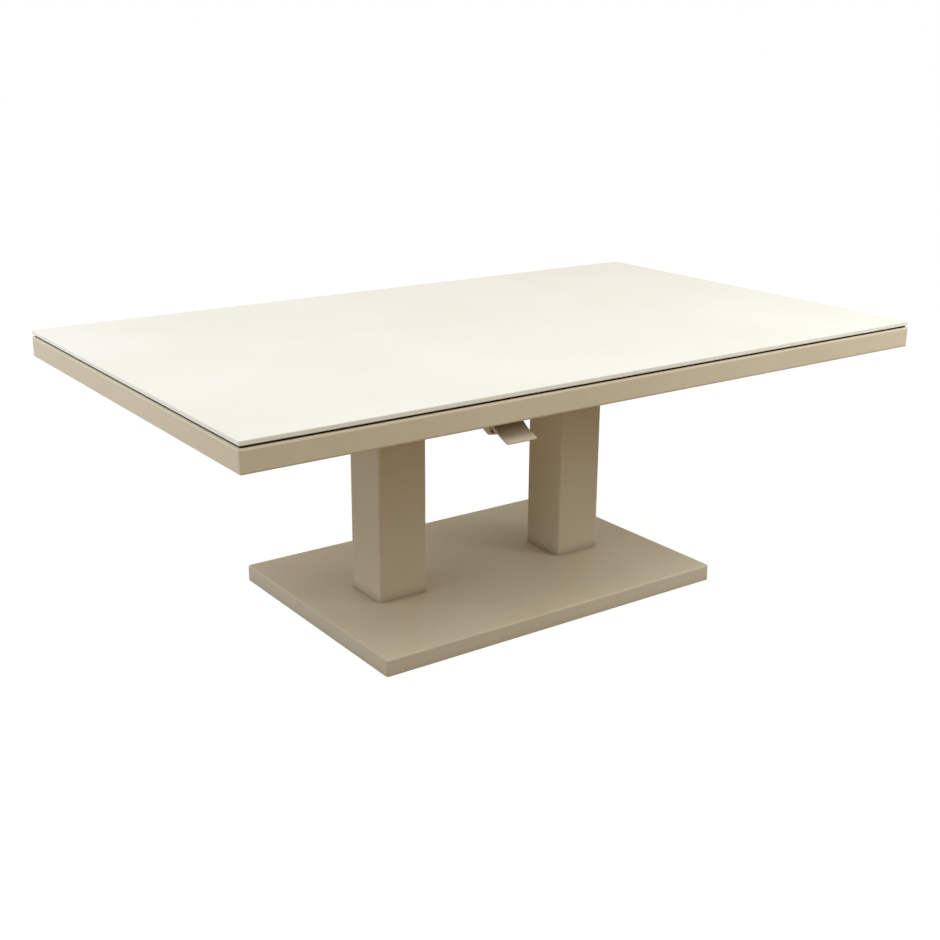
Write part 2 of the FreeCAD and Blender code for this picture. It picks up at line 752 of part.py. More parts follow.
    head = plate(
        f"{side}_head_blank",
        cell("head_plate_length"),
        cell("head_plate_width"),
        cell("head_plate_thickness"),
        x,
        "0",
        HEAD_BOTTOM,
        cell("head_plate_radius"),
    )
    holes = [hole("neck_hole", NECK_CLEAR, cell("head_plate_thickness"), x, "0", HEAD_BOTTOM)]
    for sx, sy in CORNERS:
        bolt_x = f"{x} + {sx} * {cell('cross_rail_offset')}"
        bolt_y = f"{sy} * {cell('head_bolt_offset')}"
        bolt_place = (bolt_x, bolt_y, HEAD_BOTTOM)
        holes.append(hole("bolt_hole", SMALL_CLEAR, cell("head_plate_thickness"), *bolt_place))
        head_bolts.append(
            bolt(
                "head_plate_bolt",
                cell("small_bolt_diameter"),
                cell("small_head_width"),
                cell("small_head_height"),
                cell("head_bolt_length"),
                *bolt_place,
                head_below=True,
            )
        )
    keep(f"{side}_head_plate", cut(f"{side}_head_plate", head, holes))

group("head_plate_bolts", head_bolts)
group("gas_rod_nuts", rod_nuts)

# The frame: four mitred rails round the edge and four cross rails over the columns
RAIL_MIDDLE = f"({RAIL_BOTTOM} + {cell('rail_height')} / 2)"
RAIL_SETBACK = f"({cell('rail_width')} / 2)"
frame_outline = plate(
    "frame_outline",
    cell("table_length"),
    cell("table_width"),
    cell("rail_height"),
    "0",
    "0",
    RAIL_BOTTOM,
    cell("frame_corner_radius"),
)
RAILS = {
    "front_rail": (cell("table_length"), 0, "0", f"-{HALF_WIDTH} + {RAIL_SETBACK}"),
    "right_end_rail": (cell("table_width"), 90, f"{HALF_LENGTH} - {RAIL_SETBACK}", "0"),
    "rear_rail": (cell("table_length"), 180, "0", f"{HALF_WIDTH} - {RAIL_SETBACK}"),
    "left_end_rail": (cell("table_width"), 270, f"-{HALF_LENGTH} + {RAIL_SETBACK}", "0"),
}
for name, (length, turn, x, y) in RAILS.items():
    rail = new_body(f"{name}_tube")
    sketch = new_sketch(rail, f"{name}_section", "YZ")
    rectangle(sketch, cell("rail_width"), cell("rail_height"))
    rectangle(
        sketch,
        f"{cell('rail_width')} - 2 * {cell('rail_wall')}",
        f"{cell('rail_height')} - 2 * {cell('rail_wall')}",
    )
    bar = pad(rail, f"{name}_length", sketch, length, symmetric=True)
    outer = {"y": f"{cell('rail_width')} / 2", "z": f"{cell('rail_height')} / 2"}
    fillet(rail, f"{name}_edges", bar, runs_along("x", outer), cell("rail_edge_radius"))
    sketch = new_sketch(rail, f"{name}_mitre_outline", "XY")
    over = cell("rail_wall")
    for end in (1, -1):
        tip = f"{end} * ({length} / 2 + {over})"
        heel = f"{end} * ({length} / 2 - {cell('rail_width')} - {over})"
        far = f"{cell('rail_width')} / 2 + {over}"
        outline(sketch, [(tip, f"-({far})"), (tip, far), (heel, far)])
    mitre = pocket(rail, f"{name}_mitre", sketch, f"2 * {cell('rail_height')}")
    mitre.SideType = "Symmetric"
    rail.Placement = FreeCAD.Placement(
        FreeCAD.Vector(), FreeCAD.Rotation(FreeCAD.Vector(0, 0, 1), turn)
    )
    put(rail, x, y, RAIL_MIDDLE)
    rounded = doc.addObject("Part::Common", name)
    rounded.Base = rail
    rounded.Tool = frame_outline
    keep(name, rounded)

BUSH_BORE = f"({cell('shaft_diameter')} + {cell('running_clearance')})"
BUSH_OUTER = f"({BUSH_BORE} + 2 * {cell('bush_wall')})"
BUSH_HOLE = f"({BUSH_OUTER} + 2 * {cell('bush_fit')})"
WEB_Y = f"({LEVER_Y} + {cell('bracket_web_behind')} + {cell('bracket_web_length')} / 2)"
SCREW_THREAD = f"{cell('bracket_screw_diameter')} + {cell('thread_clearance')}"
SCREW_CLEAR = f"{cell('bracket_screw_diameter')} + {cell('bolt_clearance')}"
CROSS_RAILS = {
    "left_outer_cross_rail": (-1, -1),
    "left_inner_cross_rail": (-1, 1),
    "right_inner_cross_rail": (1, -1),
    "right_outer_cross_rail": (1, 1),
}
bushes = []
for name, (column, side) in CROSS_RAILS.items():
    x = f"({column} * {COLUMN_X} + {side} * {cell('cross_rail_offset')})"
    rail = new_body(f"{name}_tube")
    sketch = new_sketch(rail, f"{name}_section", "XZ")
    rectangle(sketch, cell("cross_rail_width"), cell("rail_height"))
    rectangle(
        sketch,
        f"{cell('cross_rail_width')} - 2 * {cell('cross_rail_wall')}",
        f"{cell('rail_height')} - 2 * {cell('cross_rail_wall')}",
    )
    length = f"{cell('table_width')} - 2 * {cell('rail_width')}"
    bar = pad(rail, f"{name}_length", sketch, length, symmetric=True)
    outer = {"x": f"{cell('cross_rail_width')} / 2", "z": f"{cell('rail_height')} / 2"}
    fillet(rail, f"{name}_edges", bar, runs_along("y", outer), cell("cross_rail_edge_radius"))
    put(rail, x, "0", RAIL_MIDDLE)
    face = f"{x} - {cell('cross_rail_width')} / 2"
    bush_place = (SHAFT_Y, SHAFT_Z, "x")
    through = f"{cell('cross_rail_width')} + 2 * {OVERLAP}"
    holes = [cylinder("shaft_hole", BUSH_HOLE, through, f"{face} - {OVERLAP}", *bush_place)]
    for sign in (-1, 1):
        y = f"{sign} * {cell('head_bolt_offset')}"
        holes.append(hole("bolt_hole", SMALL_THREAD, cell("cross_rail_wall"), x, y, RAIL_BOTTOM))
        if column < 0:
            y = f"{WEB_Y} + {sign} * {cell('bracket_screw_spread')} / 2"
            holes.append(hole("screw_hole", SCREW_THREAD, cell("cross_rail_wall"), x, y, RAIL_BOTTOM))
    keep(name, cut(name, rail, holes))
    sleeve = cylinder("bush_blank", BUSH_OUTER, cell("cross_rail_width"), face, *bush_place)
    bore = cylinder("bush_bore", BUSH_BORE, through, f"{face} - {OVERLAP}", *bush_place)
    bushes.append(cut("shaft_bush", sleeve, [bore]))
group("shaft_bushes", bushes)

# The slab, the pads that float it over the frame and the strips that close the gap
slab = new_body("table_top")
sketch = new_sketch(slab, "slab_outline", "XY")
rectangle(
    sketch,
    f"{cell('table_length')} - 2 * {cell('top_inset')}",
    f"{cell('table_width')} - 2 * {cell('top_inset')}",
)
sheet_pad = pad(slab, "slab_thickness", sketch, cell("top_thickness"))
corners = fillet(slab, "slab_corners", sheet_pad, runs_along("z"), cell("top_corner_radius"))
top_edges = at_height(cell("top_thickness"))
bottom_edges = at_height("0")
fillet(
    slab,
    "slab_arris",
    corners,
    lambda edge: top_edges(edge) or bottom_edges(edge),
    cell("top_arris"),
    "Chamfer",
)
keep("table_top", put(slab, "0", "0", TOP_UNDER))

PAD_Y = f"({HALF_WIDTH} - {cell('pad_side_distance')})"
pad_form = (cell("pad_size"), cell("pad_size"), cell("shadow_gap"))
pads = []
for column, side in CROSS_RAILS.values():
    x = f"{column} * {COLUMN_X} + {side} * {cell('cross_rail_offset')}"
    for sign in (-1, 1):
        pads.append(box("top_pad", *pad_form, x, f"{sign} * {PAD_Y}", RAIL_TOP))
group("top_pads", pads)

STRIP_SETBACK = f"({cell('strip_inset')} + {cell('strip_width')} / 2)"
LONG_STRIP = f"({cell('table_length')} - 2 * {cell('strip_inset')})"
SHORT_STRIP = f"({cell('table_width')} - 2 * {cell('strip_inset')} - 2 * {cell('strip_width')})"
strips = []
for sign in (-1, 1):
    long_form = (LONG_STRIP, cell("strip_width"), cell("shadow_gap"))
    y = f"{sign} * ({HALF_WIDTH} - {STRIP_SETBACK})"
    strips.append(box("long_strip", *long_form, "0", y, RAIL_TOP))
    short_form = (cell("strip_width"), SHORT_STRIP, cell("shadow_gap"))
    x = f"{sign} * ({HALF_LENGTH} - {STRIP_SETBACK})"
    strips.append(box("short_strip", *short_form, x, "0", RAIL_TOP))
group("gap_strips", strips)

# The release lever under the front rail, its bracket, its pin and their spacers
EAR_HALF = f"({cell('bracket_ear_spacing')} / 2)"
LEVER_BORE = f"({cell('lever_pin_diameter')} + {cell('running_clearance')})"
web = box(
    "bracket_web",
    f"2 * {cell('cross_rail_offset')} + {cell('cross_rail_width')}",
    cell("bracket_web_length"),
    cell("bracket_sheet"),
    BRACKET_X,
    WEB_Y,
    f"{RAIL_BOTTOM} - {cell('bracket_sheet')}",
)
bracket_parts = [web]
ear_top = f"{cell('lever_drop')} - {cell('bracket_sheet')} / 2"
ear_front = cell("bracket_web_behind")
ear_rear = f"{ear_front} + {cell('bracket_web_length')} - {cell('bracket_ear_inset')}"
ear_radius = cell("bracket_ear_radius")
for sign in (-1, 1):
    ear = new_body("bracket_ear")
    sketch = new_sketch(ear, "ear_outline", "YZ")
    outline(
        sketch,
        [
            (ear_front, ear_top),
            (f"{ear_radius} * cos({EAR_FRONT_ANGLE})", f"{ear_radius} * sin({EAR_FRONT_ANGLE})"),
            (f"{ear_radius} * cos({EAR_REAR_ANGLE})", f"{ear_radius} * sin({EAR_REAR_ANGLE})"),
            (ear_rear, ear_top),
        ],
    )
    pad(ear, "ear_sheet", sketch, cell("bracket_sheet"), symmetric=True)
    sketch = new_sketch(ear, "ear_lug_outline", "YZ")
    circle(sketch, f"2 * {ear_radius}")
    pad(ear, "ear_lug", sketch, cell("bracket_sheet"), symmetric=True)
    bracket_parts.append(put(ear, f"{LEVER_X} + {sign} * {EAR_HALF}", LEVER_Y, LEVER_Z))

pin_start = f"{LEVER_X} - {PADDLE_HALF} - {cell('lever_side_gap')}"
pin_reach = f"{cell('paddle_width')} + 4 * {cell('lever_side_gap')} + 2 * {cell('lever_clip_thickness')}"
bracket_holes = [cylinder("ear_bore", LEVER_BORE, cell("paddle_width"), pin_start, LEVER_Y, LEVER_Z, "x")]
screws = []
for column_side in (-1, 1):
    for sign in (-1, 1):
        x = f"{BRACKET_X} + {column_side} * {cell('cross_rail_offset')}"
        y = f"{WEB_Y} + {sign} * {cell('bracket_screw_spread')} / 2"
        web_bottom = f"{RAIL_BOTTOM} - {cell('bracket_sheet')}"
        bracket_holes.append(hole("screw_hole", SCREW_CLEAR, cell("bracket_sheet"), x, y, web_bottom))
        head_diameter = cell("bracket_screw_head_diameter")
        head_z = f"{web_bottom} - {cell('bracket_screw_head')}"
        head = cylinder("screw_head", head_diameter, cell("bracket_screw_head"), x, y, head_z)
        shank_size = (cell("bracket_screw_diameter"), cell("bracket_screw_length"))
        shank = cylinder("screw_shank", *shank_size, x, y, web_bottom)
        screws.append(fuse("bracket_screw", [head, shank]))
bracket = fuse("bracket_blank", bracket_parts)
keep("lever_bracket", cut("lever_bracket", bracket, bracket_holes))
group("bracket_screws", screws)

head_x = f"{pin_start} - {cell('lever_pin_head')}"
head_size = (cell("lever_pin_head_diameter"), cell("lever_pin_head"))
pin_head = cylinder("pin_head", *head_size, head_x, LEVER_Y, LEVER_Z, "x")
pin_shank = cylinder("pin_shank", cell("lever_pin_diameter"), pin_reach, pin_start, LEVER_Y, LEVER_Z, "x")
keep("lever_pin", fuse("lever_pin", [pin_head, pin_shank]))
clip_x = f"{LEVER_X} + {PADDLE_HALF} + {cell('lever_side_gap')}"
clip_size = (cell("lever_pin_head_diameter"), cell("lever_clip_thickness"))
clip = cylinder("lever_clip_blank", *clip_size, clip_x, LEVER_Y, LEVER_Z, "x")
clip_depth = f"{cell('lever_clip_thickness')} + 2 * {OVERLAP}"
clip_start = f"{clip_x} - {OVERLAP}"
clip_hole = cylinder("lever_clip_hole", LEVER_BORE, clip_depth, clip_start, LEVER_Y, LEVER_Z, "x")
keep("lever_pin_clip", cut("lever_pin_clip", clip, [clip_hole]))

EAR_FACE = f"({EAR_HALF} + {cell('bracket_sheet')} / 2)"
SPACER_LENGTH = f"({CHEEK_INNER} - {cell('lever_side_gap')} - {EAR_FACE})"
lever_spacers = []
for sign in (-1, 1):
    start = f"{LEVER_X} + {sign} * ({EAR_FACE} + {SPACER_LENGTH} / 2) - {SPACER_LENGTH} / 2"
    spacer_size = (cell("lever_spacer_diameter"), SPACER_LENGTH)
    blank = cylinder("lever_spacer_blank", *spacer_size, start, LEVER_Y, LEVER_Z, "x")
    depth = f"{SPACER_LENGTH} + 2 * {OVERLAP}"
    bore = cylinder("lever_spacer_bore", LEVER_BORE, depth, f"{start} - {OVERLAP}", LEVER_Y, LEVER_Z, "x")
    lever_spacers.append(cut("lever_spacer", blank, [bore]))
group("lever_spacers", lever_spacers)

ROOT_SLOPE = f"({cell('paddle_root_slope')} * 1deg)"
TIP_SLOPE = f"({cell('paddle_tip_slope')} * 1deg)"
MEAN_SLOPE = f"(({ROOT_SLOPE} + {TIP_SLOPE}) / 2)"
HALF_BEND = f"(({ROOT_SLOPE} - {TIP_SLOPE}) / 2)"
SHEET = cell("paddle_thickness")
root = (f"-{cell('paddle_root_ahead')}", cell("paddle_root_above"))
bend = (
    f"({root[0]} - {cell('paddle_root_length')} * cos({ROOT_SLOPE}))",
    f"({root[1]} - {cell('paddle_root_length')} * sin({ROOT_SLOPE}))",
)
tip = (
    f"({bend[0]} - {cell('paddle_tip_length')} * cos({TIP_SLOPE}))",
    f"({bend[1]} - {cell('paddle_tip_length')} * sin({TIP_SLOPE}))",
)
under_root = (f"{root[0]} + {SHEET} * sin({ROOT_SLOPE})", f"{root[1]} - {SHEET} * cos({ROOT_SLOPE})")
under_tip = (f"{tip[0]} + {SHEET} * sin({TIP_SLOPE})", f"{tip[1]} - {SHEET} * cos({TIP_SLOPE})")
under_bend = (
    f"{bend[0]} + {SHEET} / cos({HALF_BEND}) * sin({MEAN_SLOPE})",
    f"{bend[1]} - {SHEET} / cos({HALF_BEND}) * cos({MEAN_SLOPE})",
)


def along_x_at(place):
    """A test for edges across the paddle through one point of its section."""

    def test(edge):
        centre = edge.CenterOfMass
        near = abs(centre.y - number(place[0])) < TOUCHING and abs(centre.z - number(place[1])) < TOUCHING
        return near and runs_along("x")(edge)

    return test


def at_tip_corner(edge):
    centre = edge.CenterOfMass
    middle_y = (number(tip[0]) + number(under_tip[0])) / 2
    at_side = abs(abs(centre.x) - number(PADDLE_HALF)) < TOUCHING
    return at_side and abs(centre.y - middle_y) < TOUCHING


def on_cheek(angle):
    """A point on the round of the cheeks about the lever's pin."""
    radius = cell("cheek_radius")
    return f"{radius} * cos({angle})", f"{radius} * sin({angle})"


lever = new_body("release_lever")
sketch = new_sketch(lever, "paddle_section", "YZ")
outline(sketch, [root, bend, tip, under_tip, under_bend, under_root])
blade = pad(lever, "paddle", sketch, cell("paddle_width"), symmetric=True)
upper = fillet(lever, "paddle_upper_bend", blade, along_x_at(bend), cell("paddle_bend_radius"))
lower_radius = f"{cell('paddle_bend_radius')} + {SHEET}"
lower = fillet(lever, "paddle_lower_bend", upper, along_x_at(under_bend), lower_radius)
fillet(lever, "paddle_tip_corners", lower, at_tip_corner, cell("paddle_corner_radius"))
cheek_front_z = (
    f"{cell('paddle_root_above')} - {SHEET} / 2 / cos({ROOT_SLOPE})"
    f" - ({cell('cheek_ahead')} - {cell('paddle_root_ahead')}) * tan({ROOT_SLOPE})"
)
cheek_points = [
    (f"-{cell('cheek_ahead')}", cheek_front_z),
    (f"{root[0]} + {SHEET} / 2 * sin({ROOT_SLOPE})", f"{root[1]} - {SHEET} / 2 * cos({ROOT_SLOPE})"),
    on_cheek(CHEEK_UPPER_ANGLE),
    (cell("cheek_behind"), f"-{SHEET}"),
    on_cheek(CHEEK_LOWER_ANGLE),
    on_cheek(CHEEK_UNDER_ANGLE),
]
for name, start in (("left", f"-{PADDLE_HALF}"), ("right", CHEEK_INNER)):
    sketch = new_sketch(lever, f"{name}_cheek_outline", "YZ", z=start)
    outline(sketch, cheek_points)
    pad(lever, f"{name}_cheek", sketch, SHEET)
    sketch = new_sketch(lever, f"{name}_lug_outline", "YZ", z=start)
    circle(sketch, f"2 * {cell('cheek_radius')}")
    pad(lever, f"{name}_lug", sketch, SHEET)
arm_y = f"(-{ROD_HALF_TRAVEL})"
arm_z = f"({cell('link_arm')} * cos({LEVER_HALF_TURN}))"
end_radius = cell("link_arm_end_radius")
sketch = new_sketch(lever, "link_arm_outline", "YZ", z=CHEEK_INNER)
outline(
    sketch,
    [
        (f"-{end_radius}", "0"),
        (end_radius, "0"),
        (f"{arm_y} + {end_radius}", arm_z),
        (f"{arm_y} - {end_radius}", arm_z),
    ],
)
pad(lever, "link_arm", sketch, SHEET)
sketch = new_sketch(lever, "link_arm_end_outline", "YZ", arm_y, arm_z, CHEEK_INNER)
circle(sketch, f"2 * {end_radius}")
pad(lever, "link_arm_end", sketch, SHEET)
sketch = new_sketch(lever, "link_pin_outline", "YZ", arm_y, arm_z, CHEEK_INNER)
circle(sketch, cell("link_pin_diameter"))
pad(lever, "link_pin", sketch, cell("link_pin_length"))
bore_start = f"-{PADDLE_HALF} - {OVERLAP}"
bore_depth = f"{cell('paddle_width')} + 2 * {OVERLAP}"
sketch = new_sketch(lever, "lever_bore_outline", "YZ", z=bore_start)
circle(sketch, LEVER_BORE)
pocket(lever, "lever_bore", sketch, bore_depth)
window_back = f"(-{cell('lever_pin_diameter')} / 2 - {cell('window_margin')})"
window_front = f"({window_back} - {cell('window_length')})"
window_foot = f"(-{cell('window_height')} / 2 - {SHEET} / 2)"
window_head = f"({window_foot} + {cell('window_height')})"
sketch = new_sketch(lever, "window_outline", "YZ", z=bore_start)
window_middle = f"({window_back} + {window_front}) / 2"
outline(sketch, [(window_back, window_foot), (window_middle, window_head), (window_front, window_foot)])
pocket(lever, "cheek_windows", sketch, bore_depth)
keep("release_lever", put(lever, LEVER_X, LEVER_Y, LEVER_Z))

# The push rod from the lever back to the crank of the cross shaft
EYE_BORE = f"({cell('link_pin_diameter')} + 2 * {cell('eye_clearance')})"
push_rod = new_body("push_rod")
run = f"({CRANK_Y} - {LINK_Y})"
rise = f"({CRANK_Z} - {LINK_Z})"
spine = new_sketch(push_rod, "push_rod_path", "YZ")
bend_start = cell("push_rod_bend_start")
bend_end = f"{cell('push_rod_bend_start')} + {cell('push_rod_bend_length')}"
EYE_REACH = f"(({cell('eye_diameter')} + {EYE_BORE}) / 4)"
path = [(EYE_REACH, "0"), (bend_start, "0"), (bend_end, rise), (f"{run} - {EYE_REACH}", rise)]
outline(spine, path, closed=False)
section = new_sketch(push_rod, "push_rod_section", "XZ", z=f"-{EYE_REACH}")
circle(section, cell("push_rod_diameter"))
wire = push_rod.newObject("PartDesign::AdditivePipe", "push_rod_wire")
wire.Profile = section
wire.Spine = spine
wire.Transition = "Round corner"
for name, y, z in (("lever_eye", "0", "0"), ("crank_eye", run, rise)):
    sketch = new_sketch(push_rod, f"{name}_outline", "YZ", y, z)
    circle(sketch, cell("eye_diameter"))
    pad(push_rod, name, sketch, cell("eye_thickness"), symmetric=True)
for name, y, z in (("lever_eye_bore", "0", "0"), ("crank_eye_bore", run, rise)):
    sketch = new_sketch(push_rod, f"{name}_outline", "YZ", y, z, f"-{cell('eye_thickness')}")
    circle(sketch, EYE_BORE)
    pocket(push_rod, name, sketch, f"2 * {cell('eye_thickness')}")
keep("push_rod", put(push_rod, LINK_X, LINK_Y, LINK_Z))

# The cross shaft with its crank, the two cams over the gas springs' pins and the clips
SHAFT_BORE = f"({cell('shaft_diameter')} + {cell('thread_clearance')})"
RAILS_END = f"({COLUMN_X} + {cell('cross_rail_offset')} + {cell('cross_rail_width')} / 2)"
SHAFT_END = f"({RAILS_END} + {cell('shaft_overhang')})"
shaft_length = f"2 * {SHAFT_END}"
shaft_place = (f"-{SHAFT_END}", SHAFT_Y, SHAFT_Z)
shaft = cylinder("release_shaft", cell("shaft_diameter"), shaft_length, *shaft_place, "x")
keep("release_shaft", shaft)


def shaft_arm(name, x, thickness, hub, end_y, end_z, end_diameter):
    """An arm on the cross shaft, from a bored hub to a rounded end."""
    body = new_body(name)
    half = f"(({end_diameter}) / 2 - {cell('arm_edge_step')})"
    sketch = new_sketch(body, f"{name}_hub_outline", "YZ")
    circle(sketch, hub)
    pad(body, f"{name}_hub", sketch, thickness, symmetric=True)
    sketch = new_sketch(body, f"{name}_end_outline", "YZ", end_y, end_z)
    circle(sketch, end_diameter)
    pad(body, f"{name}_end", sketch, thickness, symmetric=True)
    length = f"sqrt(({end_y}) * ({end_y}) + ({end_z}) * ({end_z}))"
    across = (f"({end_z}) / {length} * {half}", f"({end_y}) / {length} * {half}")
    sketch = new_sketch(body, f"{name}_arm_outline", "YZ")
    outline(
        sketch,
        [
            (f"-{across[0]}", across[1]),
            (across[0], f"-{across[1]}"),
            (f"{end_y} + {across[0]}", f"{end_z} - {across[1]}"),
            (f"{end_y} - {across[0]}", f"{end_z} + {across[1]}"),
        ],
    )
    pad(body, f"{name}_arm", sketch, thickness, symmetric=True)
    sketch = new_sketch(body, f"{name}_bore_outline", "YZ", z=f"-{thickness}")
    circle(sketch, SHAFT_BORE)
    pocket(body, f"{name}_bore", sketch, f"2 * {thickness}")
    return keep(name, put(body, x, SHAFT_Y, SHAFT_Z))


for side, sign in SIDES.items():
    shaft_arm(
        f"{side}_cam",
        f"{sign} * {COLUMN_X}",
        cell("cam_thickness"),
        cell("cam_hub_diameter"),
        f"-{SHAFT_Y}",
        f"({NOSE_Z} - {SHAFT_Z})",
        f"2 * {cell('cam_nose_radius')}",
    )
crank_y = f"(-{ROD_HALF_TRAVEL})"
crank_z = f"({CRANK_Z} - {SHAFT_Z})"
crank = shaft_arm(
    "crank_arm",
    CRANK_X,
    cell("crank_thickness"),
    cell("crank_hub_diameter"),
    crank_y,
    crank_z,
    f"2 * {cell('link_arm_end_radius')}",
)
crank_pin_length = f"({cell('eye_thickness')} + 2 * {cell('lever_side_gap')})"
crank_pin_start = f"-{cell('crank_thickness')} / 2 - {crank_pin_length}"
sketch = new_sketch(crank, "crank_pin_outline", "YZ", crank_y, crank_z, crank_pin_start)
circle(sketch, cell("link_pin_diameter"))
pad(crank, "crank_pin", sketch, crank_pin_length)

clips = []
for sign in (-1, 1):
    clip_width = f"{cell('shaft_diameter')} + 2 * {cell('clip_width')}"
    inner_face = f"{RAILS_END} + {cell('lever_side_gap')}"
    start = inner_face if sign > 0 else f"-({inner_face}) - {cell('clip_thickness')}"
    ring = cylinder("clip_blank", clip_width, cell("clip_thickness"), start, SHAFT_Y, SHAFT_Z, "x")
    depth = f"{cell('clip_thickness')} + 2 * {OVERLAP}"
    bore = cylinder("clip_bore", SHAFT_BORE, depth, f"{start} - {OVERLAP}", SHAFT_Y, SHAFT_Z, "x")
    clips.append(cut("shaft_clip", ring, [bore]))
group("shaft_clips", clips)

# Check every object, then write one file for each node
doc.recompute()
faults = []
for obj in doc.Objects:
    if any(state in ("Invalid", "Error") for state in obj.State):
        faults.append(f"{obj.Name}: {obj.State}")
for name, obj in nodes.items():
    if obj.Shape.isNull() or not obj.Shape.isValid() or not obj.Shape.Solids:
        faults.append(f"{name}: no valid solid")
if faults:
    raise RuntimeError("; ".join(faults))
os.makedirs("parts", exist_ok=True)
for name, obj in nodes.items():
    obj.Shape.exportStep(f"parts/{name}.step")
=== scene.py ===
"""Looks of the height-adjustable garden table: materials, small details, light and camera."""

import math

import bmesh
import bpy
from mathutils import Matrix, Vector


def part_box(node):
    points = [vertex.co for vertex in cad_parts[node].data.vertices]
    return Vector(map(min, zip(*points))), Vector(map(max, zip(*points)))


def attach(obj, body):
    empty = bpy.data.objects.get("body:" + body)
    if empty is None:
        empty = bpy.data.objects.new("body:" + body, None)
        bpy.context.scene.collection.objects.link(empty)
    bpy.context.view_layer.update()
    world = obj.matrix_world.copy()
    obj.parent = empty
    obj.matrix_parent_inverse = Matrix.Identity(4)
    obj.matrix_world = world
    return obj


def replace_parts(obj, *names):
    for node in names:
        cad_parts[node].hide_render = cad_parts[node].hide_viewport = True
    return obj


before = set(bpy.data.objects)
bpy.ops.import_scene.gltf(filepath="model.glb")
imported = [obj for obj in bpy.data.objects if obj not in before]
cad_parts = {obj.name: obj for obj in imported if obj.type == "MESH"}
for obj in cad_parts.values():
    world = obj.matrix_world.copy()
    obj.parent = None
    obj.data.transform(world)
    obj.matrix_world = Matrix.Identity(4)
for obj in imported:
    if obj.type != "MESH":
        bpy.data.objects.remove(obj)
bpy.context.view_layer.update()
scene = bpy.context.scene

QUARTER_TURN = math.pi / 2
X_AXIS = Vector((1, 0, 0))
Y_AXIS = Vector((0, 1, 0))
Z_AXIS = Vector((0, 0, 1))

# Camera: its place in metres, its angles in degrees, its lens and sensor in millimetres
CAMERA_PLACE = (-1.5389, -2.1193, 1.1031)
CAMERA_HEADING = 35.544
CAMERA_TILT = -18.073
CAMERA_ROLL = 0.388
CAMERA_LENS = 51.34
CAMERA_SENSOR = 36.0

# Colours of the light, as red, green and blue out of 255
WHITE = (255, 255, 255)
WARM = (255, 253, 246)
COOL = (218, 231, 255)
PALE_COOL = (236, 243, 255)

# Sky, brightest overhead and falling off to the horizon
SKY_STRENGTH = 1.53
SKY_FALL = 2.0

# Lamps: the place, the point that the lamp faces, its width in metres, its watts and its colour
SOFT_BOXES = {
    "left_high_lamp": ((-2.6, -0.2, 2.6), (-0.7, 0.0, 0.5), 1.5, 11.0, COOL),
    "left_near_lamp": ((-1.8, 0.9, 1.2), (-0.6, 0.2, 0.4), 0.7, 7.8, COOL),
    "left_low_lamp": ((-2.6, -0.3, 0.7), (-0.4, 0.0, 0.3), 1.0, 9.0, COOL),
    "front_top_lamp": ((-0.2, -1.7, 2.8), (0.0, -0.45, 0.5), 1.2, 9.5, PALE_COOL),
    "right_high_lamp": ((2.4, -2.2, 2.2), (0.7, -0.45, 0.5), 1.5, 8.0, COOL),
    "right_top_lamp": ((1.6, -1.5, 2.6), (0.7, -0.45, 0.5), 1.0, 9.0, PALE_COOL),
    "right_near_lamp": ((1.3, -1.5, 1.2), (0.6, -0.4, 0.45), 0.7, 9.5, PALE_COOL),
}

# Floor
FLOOR_COLOUR = (157, 142, 119)
FLOOR_SIZE = 40.0
FLOOR_SHADOW_SHARE = 0.12
FLOOR_GLOW = 1.12

# Colours of the finishes, as red, green and blue out of 255
SAND = (219, 204, 173)
SAND_LIGHT = (223, 209, 179)
SAND_DARK = (206, 190, 158)
# Painted shade: the coat's colour in the corners where the columns stand in the cover
SAND_PAINTED_SHADE_CORNER = (150, 131, 98)
# Painted shade: the coat's colour on the lever's upper part, under the frame rail
SAND_SHADE = (104, 88, 60)
CERAMIC = (237, 233, 219)
CERAMIC_LIGHT = (240, 237, 225)
CERAMIC_FLECK = (224, 217, 200)
# Painted light: a lighter colour on the slab's upright edge
CERAMIC_PAINTED_EDGE_LIGHT = (252, 247, 230)
RAW_STEEL = (120, 119, 118)
RAW_STEEL_DARK = (106, 104, 102)
ZINC = (176, 180, 184)
ZINC_DARK = (140, 146, 152)
OXIDE = (42, 41, 41)
OXIDE_WORN = (72, 70, 68)
SPRING_BLACK = (24, 24, 25)
SPRING_GREY = (40, 40, 41)
CHROME = (214, 216, 218)
NYLON = (58, 56, 53)
NYLON_LIGHT = (74, 71, 67)
RUBBER = (44, 38, 27)
RUBBER_DUST = (58, 51, 38)
FOOT_BLACK = (36, 36, 36)
FOOT_WORN = (62, 60, 57)

# Standard curve from shown colours to linear light
FULL = 255
CURVE_JOIN = 0.04045
CURVE_SLOPE = 12.92
CURVE_OFFSET = 0.055
CURVE_POWER = 2.4
OPAQUE = 1.0

# Range that most of a cloudy pattern keeps to
CLOUD_LOW = 0.3
CLOUD_HIGH = 0.7

# Openness at which the painted shade of a corner starts, and at which it is full
OPENNESS_SAMPLES = 8
PAINTED_SHADE_STARTS = 0.85
PAINTED_SHADE_FULL = 0.4

# Upward share of a face's direction above which it is level, and below which it is upright
LEVEL_ABOVE = 0.7
UPRIGHT_BELOW = 0.2


def linear(colour):
    """A colour out of 255, as the renderer's linear values."""

    def channel(value):
        share = value / FULL
        if share <= CURVE_JOIN:
            return share / CURVE_SLOPE
        return ((share + CURVE_OFFSET) / (1 + CURVE_OFFSET)) ** CURVE_POWER

    return (*[channel(value) for value in colour], OPAQUE)


